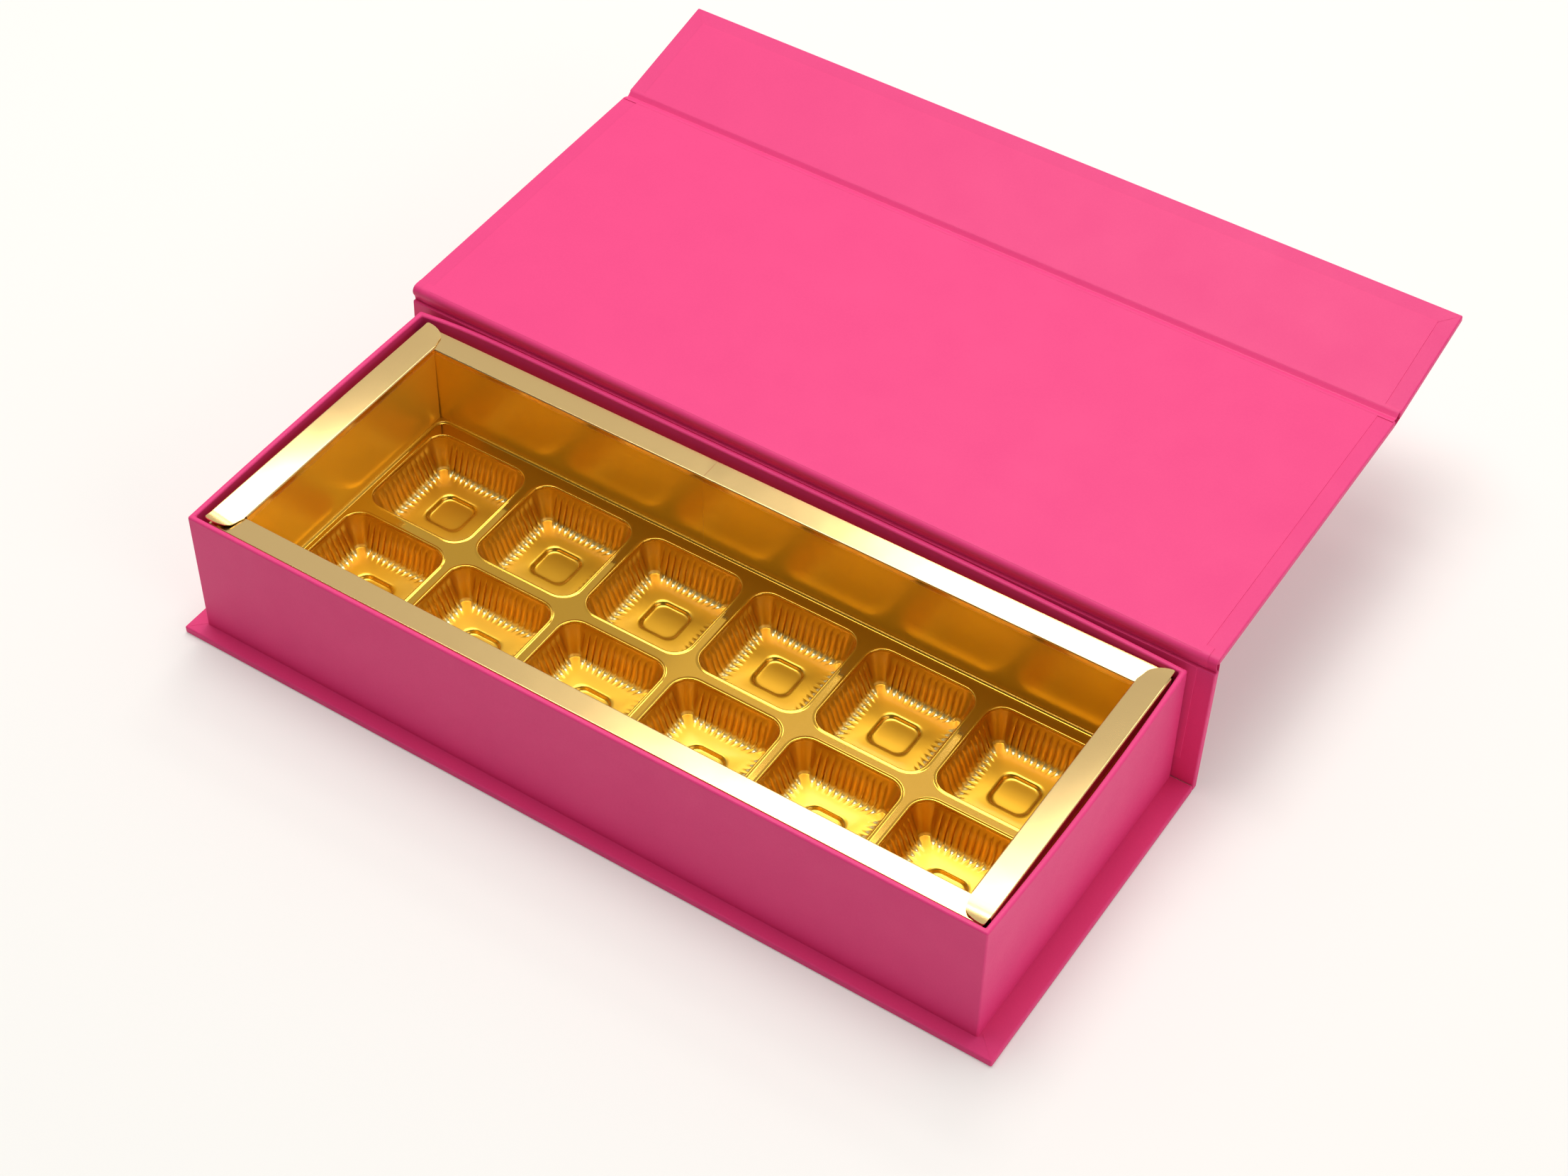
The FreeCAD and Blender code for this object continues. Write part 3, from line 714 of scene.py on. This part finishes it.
flap_bend = flap_slope - lid_slope
crease_line = lid_run.length / MM

def on_flap(along, up):
    """A point of the flap, seen in the lid's flat drawing."""
    return (crease_line + along * math.cos(flap_bend) - up * math.sin(flap_bend),
            along * math.sin(flap_bend) + up * math.cos(flap_bend))


inside = PANEL + SHEET_RISE
crease_lining_outline = [
    (lid_end - CREASE_LAP, inside),
    (lid_end - CREASE_EASE, inside),
    (crease_line + CREASE_MIDDLE, inside - CREASE_DIP),
    on_flap(FOLD_GAP + CREASE_EASE, inside),
    on_flap(FOLD_GAP + CREASE_LAP, inside),
]
crease_sheet = bent_sheet(crease_lining_outline, CASE_HALF - CREASE_INSET, CREASE_ROUND)
crease_lining = finish_piece("crease_lining", crease_sheet, lining_paper, lid_place)
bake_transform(crease_lining)

outside = -PAPER - SHEET_RISE
crease_wrap_outline = [
    (lid_end - CREASE_LAP, outside),
    (crease_line, outside),
    on_flap(FOLD_GAP + CREASE_LAP, outside),
]
crease_sheet = bent_sheet(crease_wrap_outline, CASE_HALF - WRAP_INSET, CREASE_WRAP_ROUND)
crease_wrap = finish_piece("crease_wrap", crease_sheet, wrap_paper, lid_place,
                           stands_for=["flap_fold"])
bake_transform(crease_wrap)

# %% [markdown]
# ## The tray
# The tray's walls are boards covered by one strip of paper that turns over the top edge. Board walls held
# only at their corners bow a little: the back leans out most, over nearly its whole length on the left, and
# leaves a dark gap behind the gold frame. The left wall stands 2 mm further out as a whole.

# %% How the walls bow
WALL = 1.6
RIGHT_BOW = 1.1
LEFT_SHIFT = 2.0
LEFT_BOW = 0.4
FRONT_BOW = 0.15
BACK_BOW = 2.0
BACK_SLACK = {-1: 12, 1: 3}
tray_low, tray_high = (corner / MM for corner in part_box("tray_wrap"))

def bow_walls(bm):
    """Lean the walls out between their corners, more towards the top."""
    height = tray_high.z - tray_low.z
    for v in bm.verts:
        rise = (v.co.z - tray_low.z) / height
        along_end = 1 - min(1.0, abs(v.co.y) / tray_high.y) ** 2
        along_front = 1 - min(1.0, abs(v.co.x) / tray_high.x) ** 2
        if v.co.x > tray_high.x - 2 * WALL:
            v.co.x += RIGHT_BOW * rise * along_end
        elif v.co.x < tray_low.x + 2 * WALL:
            v.co.x -= LEFT_SHIFT + LEFT_BOW * rise * along_end
        if v.co.y < tray_low.y + 2 * WALL:
            v.co.y -= FRONT_BOW * rise * along_front
        elif v.co.y > tray_high.y - 2 * WALL:
            slack = BACK_SLACK[-1 if v.co.x < 0 else 1]
            v.co.y += BACK_BOW * rise * (1 - min(1.0, abs(v.co.x) / tray_high.x) ** slack)


print("tray", [round(side, 1) for side in tray_high - tray_low], "mm")

# %% [markdown]
# The paper starts as a block that is opened at the top: its rim is inset by the wall's thickness and pushed
# down inside, and the edges are bevelled. The wall boards and the paper strips that hold them together at
# the corners take the same bow, so that they stay inside their paper.

# %% Tray wrap
TURN_IN = 22.0
TRAY_ROUND = 0.6
TRAY_STEPS = 4
LONG_CUTS = 40
SHORT_CUTS = 14

def tray_cover():
    """The paper over the tray's walls: outside, top edge and turn-in."""
    bm = block(tray_high - tray_low, (tray_low + tray_high) / 2)
    bm.normal_update()
    top = next(f for f in bm.faces if f.normal.z > 0.5)
    bottom = next(f for f in bm.faces if f.normal.z < -0.5)
    bmesh.ops.inset_region(bm, faces=[top], thickness=WALL, use_even_offset=True)
    pushed = bmesh.ops.extrude_face_region(bm, geom=[top])["geom"]
    bmesh.ops.delete(bm, geom=[top, bottom], context="FACES_ONLY")
    inner_points = points_of(pushed)
    bmesh.ops.translate(bm, vec=(0, 0, -TURN_IN), verts=inner_points)
    bmesh.ops.delete(bm, geom=[f for f in bm.faces if all(v in inner_points for v in f.verts)],
                     context="FACES_ONLY")
    folds = [e for e in bm.edges if len(e.link_faces) == 2 and e.calc_face_angle(0) > 1]
    soften(bm, folds, TRAY_ROUND, TRAY_STEPS)
    cut_across(bm, 0, spread(tray_low.x, tray_high.x, LONG_CUTS))
    cut_across(bm, 1, spread(tray_low.y, tray_high.y, SHORT_CUTS))
    bmesh.ops.recalc_face_normals(bm, faces=bm.faces)
    bow_walls(bm)
    return bm


print("turn-in", TURN_IN, "mm deep")

# %% Boards and stays
BOARD_ROUND = 0.5
BOARD_STEPS = 2

def bowed_board(node):
    """A wall board that follows the bow: a thin block just inside the outer paper."""
    low, high = (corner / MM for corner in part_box(node))
    thin = 0 if high.x - low.x < high.y - low.y else 1
    if low[thin] + high[thin] > 0:
        low[thin] = high[thin] - (WALL - 2 * PAPER)
    else:
        high[thin] = low[thin] + (WALL - 2 * PAPER)
    bm = block(high - low, (low + high) / 2)
    soften(bm, bm.edges[:], BOARD_ROUND, BOARD_STEPS)
    long = 1 - thin
    cut_across(bm, long, spread(low[long], high[long], LONG_CUTS))
    bow_walls(bm)
    return bm


def bowed_stays():
    """The paper strips at the tray's corners, which follow the walls."""
    bm = bmesh.new()
    bm.from_mesh(nodes["tray_corner_stays"].data)
    bmesh.ops.scale(bm, vec=(1 / MM, 1 / MM, 1 / MM), verts=bm.verts)
    bow_walls(bm)
    return bm


finish_piece("tray_stays", bowed_stays(), gummed_paper, body="base",
             stands_for=["tray_corner_stays"])
finish_piece("tray_cover", tray_cover(), wrap_paper, body="base", stands_for=["tray_wrap"])
for side in ("left", "right", "front", "back"):
    node = f"tray_{side}_board"
    finish_piece(f"tray_{side}_wall", bowed_board(node), grey_board, body="base",
                 stands_for=[node])

# %% [markdown]
# ## The insert
# The gold insert is one sheet of plastic drawn into a mould: a field with two rows of six square pockets,
# each with a rounded lip, fluted walls and a sunken foot. One pocket is a flat grid rolled into a ring: its
# columns run round the pocket and its rows run from the field over the lip, down the wall and across the
# floor to the middle. The wall's rows say how far each lies outside the pocket's mouth, its height over the
# field, and how proud its flutes stand. A row marked None is plain: its sides are straight, so points
# between the flutes would be wasted there, and they are merged into the point where the flute starts. The
# foot's rows say how far each lies from the pocket's middle, and its height.

# %% Rows of a pocket
WALL_ROWS = [
    (1.15, 0.0, None),
    (1.0, 0.0, None),
    (0.75, 0.06, None),
    (0.5, 0.17, None),
    (0.3, 0.18, None),
    (0.12, 0.1, None),
    (0.0, -0.1, None),
    (-0.15, -0.6, None),
    (-0.36, -1.3, 0.0),
    (-0.5, -1.75, 0.12),
    (-0.7, -2.4, 0.32),
    (-0.95, -3.2, 0.45),
    (-1.8, -5.8, 0.5),
    (-2.35, -7.5, 0.5),
    (-2.5, -8.0, 0.55),
    (-2.65, -8.5, 0.7),
    (-2.8, -9.0, 0.95),
    (-2.9, -9.4, 1.25),
    (-3.0, -9.68, 1.55),
    (-3.05, -9.8, 1.8),
    (-3.1, -9.85, 2.0),
    (-3.1, -9.9, 2.15),
    (-3.1, -10.0, 2.3),
    (-6.6, -10.0, 0.0),
]
FOOT_ROWS = [
    (6.5, -10.0),
    (6.15, -10.03),
    (5.85, -10.13),
    (5.6, -10.32),
    (5.45, -10.6),
    (5.3, -10.85),
    (5.05, -10.98),
    (4.6, -11.0),
    (4.0, -11.0),
    (0.0, -11.0),
]
print("rows of a pocket:", len(WALL_ROWS) + len(FOOT_ROWS))

# %% [markdown]
# Each side of the ring has eleven flutes, and each flute six points. A sine raised to a small power gives a
# flute a broad flat crest with steep flanks. Towards the floor the crests grow into toes, which draw
# together a little towards the middle of the side.

# %% Points round a pocket
FLUTES = 11
FLUTE_STEPS = (0.0, 0.12, 0.3, 0.5, 0.7, 0.88)
CORNER_STEPS = 8
FLUTE_POWER = 0.35
TOE_POWER = 0.12
TOE_FAN = 0.049
WALL_RIDGE = 0.55
RING = 4 * (FLUTES * len(FLUTE_STEPS) + CORNER_STEPS)

def ring_point(index, half_x, half_y, corner, ridge):
    """A point of a rounded rectangle, counted round it, with its sides fluted inwards."""
    per_side = RING // 4
    side, step = divmod(index % RING, per_side)
    half_along, half_out = (half_x, half_y) if side % 2 == 0 else (half_y, half_x)
    run = half_along - corner
    flat_steps = FLUTES * len(FLUTE_STEPS)
    if step <= flat_steps:
        flute, part = divmod(step, len(FLUTE_STEPS))
        share = 0.0 if ridge is None else FLUTE_STEPS[part]
        along = -run + 2 * run * (flute + share) / FLUTES
        push = 0.0
        if ridge:
            power = FLUTE_POWER + TOE_POWER * max(0.0, ridge - WALL_RIDGE)
            push = ridge * math.sin(math.pi * share) ** power
        along *= 1 - TOE_FAN * push
        out = half_out - push
    else:
        angle = math.pi / 2 * (step - flat_steps) / CORNER_STEPS
        along = run + corner * math.sin(angle)
        out = half_out - corner + corner * math.cos(angle)
    return Matrix.Rotation(side * math.pi / 2, 2) @ Vector((along, -out))


print("points round a pocket:", RING)

# %% One fluted pocket
PITCH_X = 36.4
PITCH_Y = 36.9
POCKET_HALF = 16.3
POCKET_CORNER = 5.2
SMALLEST_CORNER = 0.5
FOOT_CORNER = 2.8
POINT_WELD = 1e-4

def pocket_row(row):
    """Half width, corner, height and flute of a row, counted from the field inwards."""
    if row <= len(WALL_ROWS):
        outside, height, ridge = WALL_ROWS[row - 1]
        return POCKET_HALF + outside, max(SMALLEST_CORNER, POCKET_CORNER + outside), height, ridge
    half, height = FOOT_ROWS[row - 1 - len(WALL_ROWS)]
    return half, min(half, FOOT_CORNER), height, None


def one_pocket():
    """A pocket and its square of the field, with the field at z = 0."""
    rows = len(WALL_ROWS) + len(FOOT_ROWS)
    bm = bmesh.new()
    bmesh.ops.create_grid(bm, x_segments=RING, y_segments=rows, size=1.0)
    for v in bm.verts:
        index = round((v.co.x + 1) / 2 * RING)
        row = round((v.co.y + 1) / 2 * rows)
        if row == 0:
            place = ring_point(index, PITCH_X / 2, PITCH_Y / 2, 0.0, 0.0)
            height = 0.0
        else:
            half, corner, height, ridge = pocket_row(row)
            place = ring_point(index, half, half, corner, ridge)
        v.co = (place.x, place.y, height)
    bmesh.ops.remove_doubles(bm, verts=bm.verts, dist=POINT_WELD)
    return bm


print("pocket mouth", 2 * POCKET_HALF, "mm")

# %% [markdown]
# The pocket is copied over the field, and the copies are welded where they meet. Past the pockets the sheet
# runs to the edge of the field, steps up in a small bead, and goes on under the gold rails as a flange. The
# open edge of the welded pockets is extruded outwards row by row, and each row is set on a rounded
# rectangle. A row says how far it lies outside the gold walls, and its height.

# %% Field and flange
COLUMNS = 6
ROWS = 2
FIELD_TOP = 15.85
FIELD_CORNER = 3.0
FIELD_ROWS = [
    (-1.25, 0.0),
    (-1.0, 0.04),
    (-0.85, 0.16),
    (-0.7, 0.34),
    (-0.55, 0.46),
    (-0.3, 0.5),
    (6.0, 0.5),
]
POCKET_WELD = 1e-3
back_low, back_high = (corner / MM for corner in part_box("frame_back_rail"))
right_low, right_high = (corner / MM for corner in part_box("frame_right_rail"))
OPEN_X = right_low.x
OPEN_Y = back_low.y

def rounded_place(x, y, half_x, half_y, corner):
    """A point of a rectangle's edge, brought in to the rounded corner where it lies in one."""
    past_x = abs(x) - (half_x - corner)
    past_y = abs(y) - (half_y - corner)
    if past_x <= 0 or past_y <= 0:
        return x, y
    length = math.hypot(past_x, past_y)
    return (math.copysign(half_x - corner + corner * past_x / length, x),
            math.copysign(half_y - corner + corner * past_y / length, y))


def add_field(bm):
    """Carry the open edge of the welded pockets outwards, row by row."""
    last_x = max(v.co.x for v in bm.verts)
    last_y = max(v.co.y for v in bm.verts)
    open_edges = [e for e in bm.edges if len(e.link_faces) == 1]
    for outside, height in FIELD_ROWS:
        ahead, open_edges = carry_edges(bm, open_edges)
        half_x = OPEN_X + outside
        half_y = OPEN_Y + outside
        for v in ahead:
            x, y = rounded_place(v.co.x * half_x / last_x, v.co.y * half_y / last_y, half_x, half_y,
                                 FIELD_CORNER)
            v.co = (x, y, height)
        last_x, last_y = half_x, half_y


def insert_sheet():
    """Pockets, field and flange in one sheet."""
    bm = one_pocket()
    first = bm.verts[:] + bm.edges[:] + bm.faces[:]
    centre = Vector((-(COLUMNS - 1) / 2 * PITCH_X, -(ROWS - 1) / 2 * PITCH_Y, 0))
    bmesh.ops.translate(bm, vec=centre, verts=bm.verts)
    for column in range(COLUMNS):
        for row in range(ROWS):
            if column or row:
                copy = bmesh.ops.duplicate(bm, geom=first)["geom"]
                step = (column * PITCH_X, row * PITCH_Y, 0)
                bmesh.ops.translate(bm, vec=step, verts=points_of(copy))
    bmesh.ops.remove_doubles(bm, verts=bm.verts, dist=POCKET_WELD)
    add_field(bm)
    bmesh.ops.translate(bm, vec=(0, 0, FIELD_TOP), verts=bm.verts)
    bm.normal_update()
    if sum(f.normal.z * f.calc_area() for f in bm.faces) < 0:
        bmesh.ops.reverse_faces(bm, faces=bm.faces)
    return bm


finish_piece("fluted_insert", insert_sheet(), gold_sheet, body="base",
             stands_for=["cavity_insert"], sharp=45.0, weighted=False)

# %% [markdown]
# ## The gold frame
# Four rails of folded card line the tray: an inner wall, a flat rim and a hidden outer leg. A rail starts
# as four points joined by three lines, which are carried along it; its two folds are bevelled round and the
# card gets its thickness. The rims of the short rails aren't level: they lean, more at one end than at the
# other, which is what makes their reflections change along them. Width and lean are given at both ends.

# %% Folded card rails
CARD = 0.35
FOLD_ROUND = 0.45
FOLD_STEPS = 4
RAIL_CUTS = 24
RIM_ZONE = 2.0
LAP_STEP = 0.15
LAP_RISE = 0.12
insert_top = (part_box("cavity_insert")[1] / MM).z

def between(pair, share):
    """A value between those at a rail's low end, share -1, and its high end, share 1."""
    return pair[0] + (pair[1] - pair[0]) * (share + 1) / 2


def folded_rail(half, width, rim_top, lean):
    """A rail along X with its inner wall at y = 0; lean is how far the rim rises outwards."""
    wide = max(width)
    outline = [(0, insert_top), (0, rim_top), (wide, rim_top), (wide, back_low.z)]
    bm = folded_sheet(outline, half, FOLD_ROUND, FOLD_STEPS)
    cut_across(bm, 0, spread(-half, half, RAIL_CUTS))
    bmesh.ops.recalc_face_normals(bm, faces=bm.faces)
    for v in bm.verts:
        share = v.co.x / half
        v.co.y *= between(width, share) / wide
        if v.co.z > rim_top - RIM_ZONE:
            v.co.z += between(lean, share) * v.co.y / wide
    return bm


def lap_over(bm, place):
    """A second layer of card past a place along the rail, which leaves a fine step in wall and rim."""
    cut_across(bm, 0, [place, place + LAP_STEP])
    for v in bm.verts:
        if v.co.x > place + LAP_STEP / 2:
            v.co.y -= LAP_RISE
            v.co.z += LAP_RISE


print("rims at", round(back_high.z, 2), "mm, walls down to", round(insert_top, 2), "mm")

# %% [markdown]
# The rims of the short rails end in rounded tabs that lie on the long rails. The rim's end edges are
# extruded row by row, with the rows closer together towards the tip, and each row is set between a slanted
# inner edge and a straight outer one. The tips of the card curl up.

# %% Tabs of the short rails
TAB_LENGTH = 7.3
TAB_CREST = 7.0
TAB_TUCK = 0.4
TAB_TAKE_IN = 1.0
INNER_SHOULDER = 3.5
OUTER_SHOULDER = 6.8
CURL_START = 0.4
TAB_STEPS = 12

def tab_share(step):
    """How far out a row lies, as a share of the tab's length."""
    return math.sin(math.pi / 2 * step / TAB_STEPS)


def tab_lift(step, curl):
    """How high the curl lifts a row."""
    return curl * max(0.0, (tab_share(step) - CURL_START) / (1 - CURL_START)) ** 2


def place_tab_row(verts, x, width, out):
    """Set one row of a tab, which lies a length out from the rail's end."""
    past_inner = max(0.0, (out - INNER_SHOULDER) / (TAB_LENGTH - INNER_SHOULDER))
    past_outer = max(0.0, (out - OUTER_SHOULDER) / (TAB_LENGTH - OUTER_SHOULDER))
    inner = TAB_TAKE_IN * min(1.0, out / INNER_SHOULDER)
    inner = TAB_CREST - (TAB_CREST - inner) * math.sqrt(max(0.0, 1 - past_inner ** 2))
    outer = TAB_CREST + (width - TAB_TUCK - TAB_CREST) * math.sqrt(max(0.0, 1 - past_outer ** 2))
    low = min(v.co.y for v in verts)
    high = max(v.co.y for v in verts)
    for v in verts:
        v.co.x = x
        v.co.y = inner + (outer - inner) * (v.co.y - low) / max(high - low, 1e-6)


def add_tabs(bm, half, width, rim_top, lean, low_curl, high_curl):
    """Carry the rim's ends on into rounded tabs, whose tips curl up."""
    for side, curl in ((-1, low_curl), (1, high_curl)):
        end = [e for e in bm.edges if len(e.link_faces) == 1
               and all(abs(v.co.x - side * half) < 1e-4 and v.normal.z > 0.9 for v in e.verts)]
        for step in range(1, TAB_STEPS + 1):
            ahead, end = carry_edges(bm, end)
            out = TAB_LENGTH * tab_share(step)
            place_tab_row(ahead, side * (half + out), between(width, side), out)
            for v in ahead:
                v.co.z = rim_top + between(lean, side) * v.co.y / max(width) + tab_lift(step, curl)


print("tabs", TAB_LENGTH, "mm long")

# %% [markdown]
# A turned rail's low end is the right one at the front, the back one on the right and the front one on the
# left. The back rail is lapped from two lengths of card. The short rails' walls stop just short of the
# corners, and their legs run on under the tabs.

# %% The four rails in place
LONG_HALF = back_high.x
BACK_WIDTH = (7.0, 8.1)
FRONT_WIDTH = (7.1, 7.1)
LEVEL = (0.0, 0.0)
BACK_LAP = -20.0
LEG_RUN = 4.5
CORNER_SLIT = 0.4
RIM_CLEAR = 1.0
NEAR = 0.01

def fit_corners(bm, width):
    """Run a short rail's leg on past its ends, and stop its wall short of them."""
    for v in bm.verts:
        at_end = abs(v.co.x) > OPEN_Y - NEAR
        if at_end and v.co.y > max(width) - FOLD_ROUND + NEAR:
            v.co.x += math.copysign(LEG_RUN, v.co.x)
        elif at_end and v.co.y < NEAR and v.co.z < right_high.z - RIM_CLEAR:
            v.co.x -= math.copysign(CORNER_SLIT, v.co.x)


def finish_rail(name, bm, place):
    """Give a rail its thickness and its place."""
    bmesh.ops.solidify(bm, geom=bm.faces[:], thickness=CARD)
    bmesh.ops.recalc_face_normals(bm, faces=bm.faces)
    piece = finish_piece(f"gold_{name}_rail", bm, gold_card, place, "base",
                         [f"frame_{name}_rail"])
    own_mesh(piece)


back_place = Matrix.Translation((0, OPEN_Y * MM, 0))
front_place = Matrix.Rotation(math.pi, 4, "Z") @ back_place
right_place = Matrix.Translation((OPEN_X * MM, 0, 0)) @ Matrix.Rotation(-math.pi / 2, 4, "Z")
left_place = Matrix.Translation((-OPEN_X * MM, 0, 0)) @ Matrix.Rotation(math.pi / 2, 4, "Z")

back_rail = folded_rail(LONG_HALF, BACK_WIDTH, back_high.z, LEVEL)
lap_over(back_rail, BACK_LAP)
finish_rail("back", back_rail, back_place)
finish_rail("front", folded_rail(LONG_HALF, FRONT_WIDTH, back_high.z, LEVEL), front_place)
for name, place, width, lean, low_curl, high_curl in (
    ("right", right_place, (8.0, 8.0), (1.59, 0.33), 0.2, 0.5),
    ("left", left_place, (8.2, 8.2), (1.55, 0.52), 0.6, 0.1),
):
    rail = folded_rail(OPEN_Y, width, right_high.z, lean)
    fit_corners(rail, width)
    add_tabs(rail, OPEN_Y, width, right_high.z, lean, low_curl, high_curl)
    finish_rail(name, rail, place)

# %% [markdown]
# ## Finishes of the CAD nodes that stay
# The base and floor boards and the magnets keep their CAD shape and only change material. The others get
# one too, so that each node looks right when it is shown alone.

# %% Materials of the CAD nodes
FINISHES = {
    "_liner": lining_paper,
    "_board": grey_board,
    "_stays": gummed_paper,
    "_magnets": nickel_plate,
    "_wrap": wrap_paper,
    "_fold": wrap_paper,
    "_rail": gold_card,
    "_insert": gold_sheet,
}
for name, node in nodes.items():
    for ending, finish in FINISHES.items():
        if name.endswith(ending):
            for slot in node.material_slots:
                slot.material = finish
print("CAD nodes with a finish:", len(nodes))
